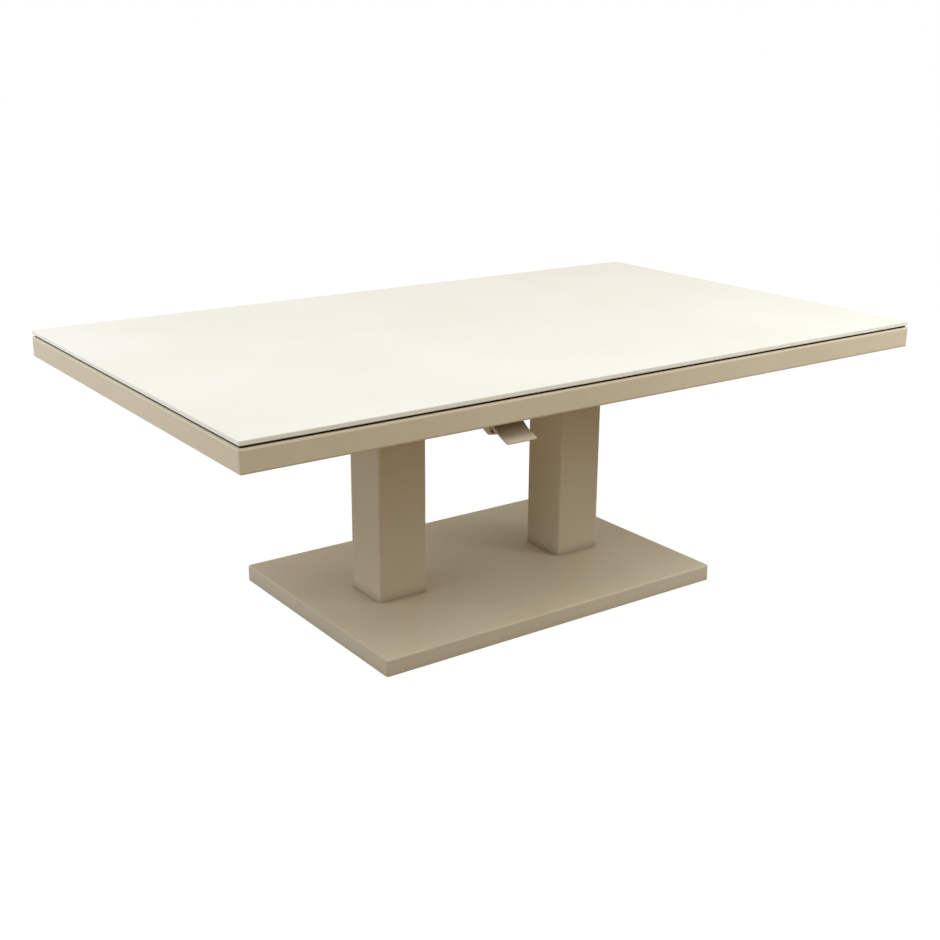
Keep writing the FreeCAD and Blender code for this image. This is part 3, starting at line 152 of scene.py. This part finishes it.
class Nodes:
    """A node tree that is laid out by short calls."""

    def __init__(self, tree):
        self.tree = tree

    def add(self, kind, **settings):
        node = self.tree.nodes.new(kind)
        for name, value in settings.items():
            setattr(node, name, value)
        return node

    def feed(self, socket, value):
        """Link a socket to another one, or set it to a plain value."""
        if isinstance(value, bpy.types.NodeSocket):
            self.tree.links.new(value, socket)
        else:
            socket.default_value = value

    def fill(self, node, **values):
        """Feed a node's inputs by their names, with underscores for spaces."""
        for name, value in values.items():
            self.feed(node.inputs[name.replace("_", " ")], value)

    def calculate(self, operation, *values):
        """The result of an operation on sockets and plain numbers."""
        node = self.add("ShaderNodeMath", operation=operation)
        for socket, value in zip(node.inputs, values):
            self.feed(socket, value)
        return node.outputs["Value"]

    def upward(self, direction):
        """The upward share of a direction."""
        node = self.add("ShaderNodeSeparateXYZ")
        self.fill(node, Vector=direction)
        return node.outputs["Z"]

    def seen_rays(self):
        """One for rays from the camera and for reflected and transmitted ones."""
        path = self.add("ShaderNodeLightPath")
        seen = path.outputs["Is Camera Ray"]
        for name in ("Is Glossy Ray", "Is Transmission Ray"):
            seen = self.calculate("MAXIMUM", seen, path.outputs[name])
        return seen

    def show(self, output, share, first, second):
        """Send two shaders, mixed by a share, to an output node."""
        mixed = self.add("ShaderNodeMixShader")
        for socket, value in zip(mixed.inputs, (share, first.outputs[0], second.outputs[0])):
            self.feed(socket, value)
        self.fill(self.add(output), Surface=mixed.outputs[0])


class Finish(Nodes):
    """The material of a piece, from patterns that lie fixed on it."""

    def __init__(self, name):
        self.material = bpy.data.materials.new(name)
        self.material.use_nodes = True
        super().__init__(self.material.node_tree)
        self.shader = self.tree.nodes["Principled BSDF"]
        self.place = self.add("ShaderNodeTexCoord").outputs["Object"]
        self.normal = None

    def set(self, **values):
        """Feed the shader's inputs by their names."""
        self.fill(self.shader, **values)

    def stretched(self, stretch):
        """The place on the surface, drawn out along the axes."""
        node = self.add("ShaderNodeMapping")
        self.fill(node, Scale=stretch, Vector=self.place)
        return node.outputs["Vector"]

    def noise(self, size, detail, place=None):
        """A cloudy pattern whose patches are about size metres wide."""
        node = self.add("ShaderNodeTexNoise")
        self.fill(node, Scale=1 / size, Detail=detail, Vector=place or self.place)
        return node.outputs["Fac"]

    def cells(self, size):
        """The distance to the middle of irregular cells about size metres wide."""
        node = self.add("ShaderNodeTexVoronoi")
        self.fill(node, Scale=1 / size, Vector=self.place)
        return node.outputs["Distance"]

    def openness(self, reach):
        """One in the open, less in corners and under ledges that are within reach metres."""
        node = self.add("ShaderNodeAmbientOcclusion", samples=OPENNESS_SAMPLES)
        self.fill(node, Distance=reach)
        return node.outputs["AO"]

    def uprightness(self):
        """One on upright faces, zero on level ones."""
        facing = self.upward(self.add("ShaderNodeNewGeometry").outputs["Normal"])
        return self.fade(self.calculate("ABSOLUTE", facing), low=LEVEL_ABOVE, high=UPRIGHT_BELOW)

    def fade(self, value, low, high, start=0.0, end=1.0):
        """Rescale a pattern from the range of low to high to that of start to end."""
        node = self.add("ShaderNodeMapRange")
        self.fill(node, Value=value, From_Min=low, From_Max=high, To_Min=start, To_Max=end)
        return node.outputs["Result"]

    def blend(self, share, first, second):
        """Two colours, or a socket and a colour, mixed by a pattern."""
        node = self.add("ShaderNodeMix", data_type="RGBA")
        first, second = [linear(one) if isinstance(one, tuple) else one for one in (first, second)]
        self.fill(node, Factor=share, A=first, B=second)
        return node.outputs["Result"]

    def mottle(self, first, second, size, detail, low, high):
        """Two colours in cloudy patches about size metres wide."""
        return self.blend(self.fade(self.noise(size, detail), low, high), first, second)

    def roughness(self, pattern, least, most):
        """Roughness between two values, along a cloudy pattern."""
        self.set(Roughness=self.fade(pattern, CLOUD_LOW, CLOUD_HIGH, least, most))

    def bump(self, pattern, height):
        """Raise the surface along a pattern by up to height metres, on top of an earlier bump."""
        node = self.add("ShaderNodeBump")
        self.fill(node, Strength=1.0, Distance=height, Height=pattern)
        if self.normal:
            self.fill(node, Normal=self.normal)
        self.normal = node.outputs["Normal"]
        self.set(Normal=self.normal)


def textured_coat(name):
    """Fine-textured powder coat over steel, and its colour before any painted shade."""
    finish = Finish(name)
    tone = finish.mottle(SAND, SAND_LIGHT, size=0.22, detail=3.0, low=0.35, high=0.65)
    speckle = finish.fade(finish.noise(size=0.0016, detail=1.0), low=0.56, high=0.72, end=0.5)
    finish.roughness(finish.noise(size=0.0011, detail=1.0), least=0.5, most=0.64)
    finish.bump(finish.noise(size=0.0013, detail=1.0), height=0.00006)
    finish.bump(finish.noise(size=0.007, detail=2.0), height=0.00008)
    finish.set(Specular_IOR_Level=0.28)
    return finish, finish.blend(speckle, tone, SAND_DARK)


def sand_coat():
    """The coat as it is in the open."""
    finish, tone = textured_coat("sand_coat")
    finish.set(Base_Color=tone)
    return finish.material


def painted_shade_coat(name, reach, shade, most):
    """The coat on a piece that stands on or close under others, with painted shade: darker where they
    are within reach.
    """
    finish, tone = textured_coat(name)
    # Painted shade: the coat darkens towards the shade colour where other pieces are near
    corner = finish.fade(finish.openness(reach), low=PAINTED_SHADE_STARTS, high=PAINTED_SHADE_FULL, end=most)
    finish.set(Base_Color=finish.blend(corner, tone, shade))
    return finish.material


def seated_painted_shade():
    """The coat on the cover and the columns that stand in it, with painted shade in the corners where
    they meet.
    """
    return painted_shade_coat("seated_painted_shade", reach=0.03, shade=SAND_PAINTED_SHADE_CORNER, most=0.55)


def lever_painted_shade():
    """The coat on the lever under the frame, with painted shade where the rail above it is near."""
    return painted_shade_coat("lever_painted_shade", reach=0.05, shade=SAND_SHADE, most=0.75)


def ceramic_top():
    """Pale matt ceramic with a faint cloud, sparse flecks and painted light that makes its upright
    edge lighter.
    """
    finish = Finish("ceramic_top")
    tone = finish.mottle(CERAMIC, CERAMIC_LIGHT, size=0.3, detail=4.0, low=0.35, high=0.65)
    fleck = finish.fade(finish.cells(size=0.009), low=0.10, high=0.04, end=0.45)
    face = finish.blend(fleck, tone, CERAMIC_FLECK)
    # Painted light on upright faces, which makes the edge lighter than the top
    finish.set(Base_Color=finish.blend(finish.uprightness(), face, CERAMIC_PAINTED_EDGE_LIGHT))
    finish.roughness(finish.noise(size=0.02, detail=3.0), least=0.5, most=0.62)
    finish.bump(finish.noise(size=0.003, detail=2.0), height=0.00002)
    finish.set(Specular_IOR_Level=0.3)
    return finish.material


def raw_steel():
    """Rolled steel plate with faint scale and rolling marks."""
    finish = Finish("raw_steel")
    drawn = finish.noise(size=0.004, detail=2.0, place=finish.stretched((0.04, 1.0, 1.0)))
    scale = finish.noise(size=0.05, detail=6.0, place=finish.stretched((0.3, 1.0, 1.0)))
    share = finish.fade(scale, low=0.3, high=0.75)
    finish.set(Base_Color=finish.blend(share, RAW_STEEL, RAW_STEEL_DARK), Metallic=1.0)
    finish.roughness(drawn, least=0.38, most=0.56)
    finish.bump(drawn, height=0.00003)
    return finish.material


def zinc_steel():
    """Zinc plating with a fine uneven lustre."""
    finish = Finish("zinc_steel")
    patch = finish.fade(finish.cells(size=0.004), low=0.1, high=0.7)
    finish.set(Base_Color=finish.blend(patch, ZINC, ZINC_DARK), Metallic=1.0)
    finish.roughness(finish.noise(size=0.002, detail=2.0), least=0.26, most=0.42)
    finish.bump(finish.noise(size=0.0009, detail=1.0), height=0.00001)
    return finish.material


def dark_steel():
    """Black oxide on steel, worn lighter in places."""
    finish = Finish("dark_steel")
    tone = finish.mottle(OXIDE, OXIDE_WORN, size=0.006, detail=3.0, low=0.5, high=0.72)
    finish.set(Base_Color=tone, Metallic=0.85)
    finish.roughness(finish.noise(size=0.0015, detail=2.0), least=0.36, most=0.52)
    finish.bump(finish.noise(size=0.0007, detail=1.0), height=0.00001)
    return finish.material


def spring_paint():
    """Smooth black paint on the gas springs."""
    finish = Finish("spring_paint")
    tone = finish.mottle(SPRING_BLACK, SPRING_GREY, size=0.02, detail=3.0, low=0.4, high=0.7)
    finish.set(Base_Color=tone)
    finish.roughness(finish.noise(size=0.004, detail=2.0), least=0.24, most=0.36)
    finish.bump(finish.noise(size=0.003, detail=2.0), height=0.00002)
    return finish.material


def rod_chrome():
    """Ground and chromed rod with fine turning lines."""
    finish = Finish("rod_chrome")
    lines = finish.noise(size=0.0006, detail=1.0, place=finish.stretched((0.02, 0.02, 1.0)))
    share = finish.fade(lines, CLOUD_LOW, CLOUD_HIGH)
    finish.set(Base_Color=finish.blend(share, CHROME, ZINC), Metallic=1.0)
    finish.roughness(lines, least=0.07, most=0.14)
    return finish.material


def nylon():
    """Moulded nylon with a fine eroded grain."""
    finish = Finish("nylon")
    tone = finish.mottle(NYLON, NYLON_LIGHT, size=0.012, detail=3.0, low=0.35, high=0.7)
    finish.set(Base_Color=tone)
    finish.roughness(finish.noise(size=0.0012, detail=2.0), least=0.42, most=0.58)
    finish.bump(finish.noise(size=0.0007, detail=1.0), height=0.00004)
    return finish.material


def pad_rubber():
    """Soft rubber with a little dust."""
    finish = Finish("pad_rubber")
    tone = finish.mottle(RUBBER, RUBBER_DUST, size=0.008, detail=3.0, low=0.5, high=0.75)
    finish.set(Base_Color=tone, Specular_IOR_Level=0.08)
    finish.roughness(finish.noise(size=0.002, detail=2.0), least=0.72, most=0.88)
    finish.bump(finish.noise(size=0.0006, detail=1.0), height=0.00004)
    return finish.material


def foot_plastic():
    """Moulded plastic, scuffed in places."""
    finish = Finish("foot_plastic")
    tone = finish.mottle(FOOT_BLACK, FOOT_WORN, size=0.01, detail=4.0, low=0.55, high=0.8)
    finish.set(Base_Color=tone)
    finish.roughness(finish.noise(size=0.0015, detail=2.0), least=0.45, most=0.62)
    finish.bump(finish.noise(size=0.0008, detail=1.0), height=0.00003)
    return finish.material


# Finishes by name, and the nodes that have another one than their material slot says: copies of the
# coat with painted shade
MAKERS = (
    sand_coat,
    seated_painted_shade,
    lever_painted_shade,
    ceramic_top,
    raw_steel,
    zinc_steel,
    dark_steel,
    spring_paint,
    rod_chrome,
    nylon,
    pad_rubber,
    foot_plastic,
)
NODE_FINISHES = {
    "base_cover": "seated_painted_shade",
    "left_outer_column": "seated_painted_shade",
    "right_outer_column": "seated_painted_shade",
    "release_lever": "lever_painted_shade",
}


def dress_nodes():
    """Give each CAD node its own finish, or that of its material slot, and return all finishes."""
    slots = {node: obj.data.materials[0].name for node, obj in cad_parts.items()}
    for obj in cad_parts.values():
        obj.data.materials.clear()
    made = {}
    for make in MAKERS:
        old = bpy.data.materials.get(make.__name__)
        if old:
            bpy.data.materials.remove(old)
        made[make.__name__] = make()
    for node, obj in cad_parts.items():
        obj.data.materials.append(made[NODE_FINISHES.get(node, slots[node])])
    return made


finishes = dress_nodes()

# Angle above which the edges of the added pieces stay sharp
SHARP_ANGLE = math.radians(28)

# Cross rails under the slab, named from left to right
LEFT_RAILS = ("left_outer", "left_inner")
RIGHT_RAILS = ("right_inner", "right_outer")


def new_object(name, data):
    """An object in the scene, from its data."""
    made = bpy.data.objects.new(name, data)
    scene.collection.objects.link(made)
    return made


def make_piece(name, shape, body, slot):
    """A new piece from a bmesh, on a body, in the finish of a slot."""
    bmesh.ops.recalc_face_normals(shape, faces=shape.faces)
    mesh = bpy.data.meshes.new(name)
    shape.to_mesh(mesh)
    shape.free()
    for face in mesh.polygons:
        face.use_smooth = True
    mesh.set_sharp_from_angle(angle=SHARP_ANGLE)
    mesh.materials.append(finishes[slot])
    piece = new_object(name, mesh)
    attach(piece, body)
    return piece


def tube(shape, rings, endless=False):
    """Skin a row of rings of points into a tube with capped ends, or into an endless one."""
    rows = [[shape.verts.new(point) for point in ring] for ring in rings]
    following = rows[1:] + rows[:1] if endless else rows[1:]
    for first, second in zip(rows, following):
        for i in range(len(first)):
            j = (i + 1) % len(first)
            shape.faces.new((first[i], first[j], second[j], second[i]))
    if not endless:
        shape.faces.new(list(reversed(rows[0])))
        shape.faces.new(rows[-1])


# Weld beads at the ends of the cross rails, and round the inner columns under their head plates
BEAD_POINTS = 6
BEAD_RIPPLE = 0.0005
RINGS_PER_RIPPLE = 4
RAIL_BEAD_LEG = 0.0036
RAIL_BEAD_PITCH = 0.0016
RAIL_BEAD_END_GAP = 0.004
HEAD_BEAD_LEG = 0.0028
HEAD_BEAD_PITCH = 0.0024
COLUMN_EDGE_RADIUS = 0.005
LEAST_CORNER_STEPS = 3


def bead_reach(leg, ripples):
    """How far a bead stands out of its corner, a number of ripples along it."""
    return leg - BEAD_RIPPLE * abs(math.sin(math.pi * ripples))


def bead_ring(root, first, second, reach):
    """The quarter-round section of a bead, from its root in the corner out along two directions."""
    ring = [root]
    for i in range(BEAD_POINTS):
        angle = QUARTER_TURN * i / (BEAD_POINTS - 1)
        ring.append(root + reach * (math.cos(angle) * first + math.sin(angle) * second))
    return ring


def rail_bead(shape, foot, length, first, second):
    """A rippled bead with tapered ends, up the inside corner between two upright faces."""
    step = RAIL_BEAD_PITCH / RINGS_PER_RIPPLE
    count = int(length / step)
    rings = []
    for row in range(count + 1):
        rise = length * row / count
        taper = min(1.0, (row + 1) / RINGS_PER_RIPPLE, (count - row + 1) / RINGS_PER_RIPPLE)
        reach = bead_reach(RAIL_BEAD_LEG, rise / RAIL_BEAD_PITCH) * taper
        rings.append(bead_ring(foot + rise * Z_AXIS, first, second, reach))
    tube(shape, rings)


def cross_rail_welds():
    """Four upright beads on each cross rail, where it meets the front and rear rails."""
    shape = bmesh.new()
    for rail in LEFT_RAILS + RIGHT_RAILS:
        low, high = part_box(f"{rail}_cross_rail")
        length = high.z - low.z - 2 * RAIL_BEAD_END_GAP
        for x, out_x in ((low.x, -X_AXIS), (high.x, X_AXIS)):
            for y, out_y in ((low.y, Y_AXIS), (high.y, -Y_AXIS)):
                foot = Vector((x, y, low.z + RAIL_BEAD_END_GAP))
                rail_bead(shape, foot, length, out_x, out_y)
    make_piece("cross_rail_welds", shape, "top", "sand_coat")


def rounded_square(half, radius, step):
    """Places and outward directions along a level square with rounded corners, about its middle."""
    straight = 2 * (half - radius)
    side_steps = int(straight / step)
    corner_steps = max(LEAST_CORNER_STEPS, int(QUARTER_TURN * radius / step))
    corner = (half - radius) * (X_AXIS + Y_AXIS)
    quarter = []
    for i in range(side_steps):
        along = straight * i / side_steps - straight / 2
        quarter.append((half * X_AXIS + along * Y_AXIS, X_AXIS))
    for i in range(corner_steps):
        angle = QUARTER_TURN * i / corner_steps
        out = math.cos(angle) * X_AXIS + math.sin(angle) * Y_AXIS
        quarter.append((corner + radius * out, out))
    turns = [Matrix.Rotation(QUARTER_TURN * i, 3, "Z") for i in range(4)]
    return [(turn @ place, turn @ out) for turn in turns for place, out in quarter]


def head_plate_welds():
    """An endless bead round the top of each inner column."""
    shape = bmesh.new()
    for side in ("left", "right"):
        low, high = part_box(f"{side}_inner_column")
        half = (high.x - low.x) / 2
        middle = Vector(((low.x + high.x) / 2, (low.y + high.y) / 2, high.z))
        path = rounded_square(half, COLUMN_EDGE_RADIUS, HEAD_BEAD_PITCH / RINGS_PER_RIPPLE)
        rings = []
        for i, (place, out) in enumerate(path):
            reach = bead_reach(HEAD_BEAD_LEG, i / RINGS_PER_RIPPLE)
            rings.append(bead_ring(middle + place, out, -Z_AXIS, reach))
        tube(shape, rings, endless=True)
    make_piece("head_plate_welds", shape, "top", "sand_coat")


cross_rail_welds()
head_plate_welds()

# Hexagon bolts under the head plates and socket screws in the lever's bracket
TURN_POINTS = 48
HEXAGON_SECTOR = math.tau / 6
BOLT_FLATS = 0.013
BOLT_HEAD = 0.0053
BOLT_SHANK = 0.004
BOLT_FACE_SHARE = 0.46
BOLT_CHAMFER_SLOPE = math.tan(math.radians(30))
WASHER_FACE = 0.0004
TIP_CHAMFER = 0.001
SCREW_HEAD = 0.003
SCREW_HEAD_RADIUS = 0.0045
SCREW_SHANK = 0.0025
SCREW_EDGE = 0.0008
SCREW_EDGE_STEPS = 4
SOCKET_FLATS = 0.003
SOCKET_DEPTH = 0.0017


def hexagon_reach(angle, flats):
    """From the middle of a hexagon to its side, in one direction."""
    return flats / 2 / math.cos(angle % HEXAGON_SECTOR - HEXAGON_SECTOR / 2)


def turned_ring(place, profile):
    """A ring of points about an upright line, from a function of the angle to radius and height."""
    ring = []
    for i in range(TURN_POINTS):
        angle = math.tau * i / TURN_POINTS
        radius, height = profile(angle)
        out = math.cos(angle) * X_AXIS + math.sin(angle) * Y_AXIS
        ring.append(place + radius * out + height * Z_AXIS)
    return ring


def round_ring(place, radius, height):
    return turned_ring(place, lambda angle: (radius, height))


def hexagon_ring(place, flats, height):
    return turned_ring(place, lambda angle: (hexagon_reach(angle, flats), height))


def shank_rings(place, radius, seat, top):
    """The shank of a bolt from its seat up to a chamfered tip."""
    return [
        round_ring(place, radius, seat),
        round_ring(place, radius, top - TIP_CHAMFER),
        round_ring(place, radius - TIP_CHAMFER, top),
    ]


def hexagon_bolt(shape, place, low, top):
    """A bolt with a chamfered head below its seat."""
    face = BOLT_FLATS * BOLT_FACE_SHARE
    seat = low + BOLT_HEAD

    def chamfer(angle):
        reach = hexagon_reach(angle, BOLT_FLATS)
        return reach, low + (reach - face) * BOLT_CHAMFER_SLOPE

    rings = [
        round_ring(place, face, low),
        turned_ring(place, chamfer),
        hexagon_ring(place, BOLT_FLATS, seat - WASHER_FACE),
        round_ring(place, face, seat - WASHER_FACE),
        round_ring(place, face, seat),
    ]
    tube(shape, rings + shank_rings(place, BOLT_SHANK, seat, top))


def socket_screw(shape, place, low, top):
    """A low round head with a hexagon socket below its seat."""
    seat = low + SCREW_HEAD
    rings = [
        hexagon_ring(place, SOCKET_FLATS, low + SOCKET_DEPTH),
        hexagon_ring(place, SOCKET_FLATS, low),
    ]
    for i in range(SCREW_EDGE_STEPS + 1):
        angle = QUARTER_TURN * i / SCREW_EDGE_STEPS
        radius = SCREW_HEAD_RADIUS - SCREW_EDGE * (1 - math.sin(angle))
        rings.append(round_ring(place, radius, low + SCREW_EDGE * (1 - math.cos(angle))))
    rings.append(round_ring(place, SCREW_HEAD_RADIUS, seat))
    tube(shape, rings + shank_rings(place, SCREW_SHANK, seat, top))


def fasteners(name, node, build, rails, reach):
    """One fastener at each end of the node's box, on each of the rails, in place of the node."""
    low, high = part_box(node)
    shape = bmesh.new()
    for rail in rails:
        rail_low, rail_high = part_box(f"{rail}_cross_rail")
        x = (rail_low.x + rail_high.x) / 2
        for y in (low.y + reach, high.y - reach):
            build(shape, Vector((x, y, 0)), low.z, high.z)
    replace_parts(make_piece(name, shape, "top", "zinc_steel"), node)


fasteners("hexagon_bolts", "head_plate_bolts", hexagon_bolt, LEFT_RAILS + RIGHT_RAILS, BOLT_FLATS / 2)
fasteners("socket_screws", "bracket_screws", socket_screw, LEFT_RAILS, SCREW_HEAD_RADIUS)


def bare_nodes(owner):
    """The emptied node tree of a material or a world."""
    owner.use_nodes = True
    owner.node_tree.nodes.clear()
    return Nodes(owner.node_tree)


def floor_white():
    """A plain colour for the light that falls on it, seen as white with a small share of shadow."""
    material = bpy.data.materials.new("floor_white")
    nodes = bare_nodes(material)
    shaded = nodes.add("ShaderNodeBsdfDiffuse")
    nodes.fill(shaded, Color=linear(FLOOR_COLOUR))
    glow = nodes.add("ShaderNodeEmission")
    nodes.fill(glow, Color=linear(WHITE), Strength=FLOOR_GLOW)
    share = nodes.calculate("MULTIPLY", nodes.seen_rays(), 1 - FLOOR_SHADOW_SHARE)
    nodes.show("ShaderNodeOutputMaterial", share, shaded, glow)
    return material


def make_floor():
    """A wide level floor under the feet."""
    half = FLOOR_SIZE / 2
    corners = [(-half, -half, 0), (half, -half, 0), (half, half, 0), (-half, half, 0)]
    mesh = bpy.data.meshes.new("floor")
    mesh.from_pydata(corners, [], [range(len(corners))])
    mesh.materials.append(floor_white())
    floor = new_object("floor", mesh)


def make_world():
    """A soft sky for light, seen as plain white."""
    world = bpy.data.worlds.new("studio")
    scene.world = world
    nodes = bare_nodes(world)
    direction = nodes.add("ShaderNodeTexCoord").outputs["Generated"]
    overhead = nodes.calculate("MAXIMUM", nodes.upward(direction), 0.0)
    falling = nodes.calculate("POWER", overhead, SKY_FALL)
    sky = nodes.add("ShaderNodeBackground")
    nodes.fill(sky, Color=linear(WARM), Strength=nodes.calculate("MULTIPLY", falling, SKY_STRENGTH))
    white = nodes.add("ShaderNodeBackground")
    nodes.fill(white, Color=linear(WHITE))
    nodes.show("ShaderNodeOutputWorld", nodes.seen_rays(), sky, white)


def soft_boxes():
    """Square lamps, each facing a point of the table."""
    for name, (place, aim, size, watts, colour) in SOFT_BOXES.items():
        lamp = bpy.data.lights.new(name, "AREA")
        lamp.shape = "SQUARE"
        lamp.size = size
        lamp.energy = watts
        lamp.color = linear(colour)[:3]
        holder = new_object(name, lamp)
        holder.location = place
        holder.rotation_euler = (Vector(aim) - Vector(place)).to_track_quat("-Z", "Y").to_euler()
        holder.visible_glossy = False


def make_camera():
    """The camera, which looks straight down until a quarter turn brings it level."""
    data = bpy.data.cameras.new("camera")
    data.lens = CAMERA_LENS
    data.sensor_width = CAMERA_SENSOR
    camera = new_object("camera", data)
    turn = Matrix.Rotation(math.radians(-CAMERA_HEADING), 4, "Z")
    tilt = Matrix.Rotation(QUARTER_TURN + math.radians(CAMERA_TILT), 4, "X")
    roll = Matrix.Rotation(math.radians(CAMERA_ROLL), 4, "Z")
    camera.matrix_world = Matrix.Translation(CAMERA_PLACE) @ turn @ tilt @ roll
    scene.camera = camera


make_floor()
make_world()
soft_boxes()
make_camera()
scene.view_settings.view_transform = "Standard"
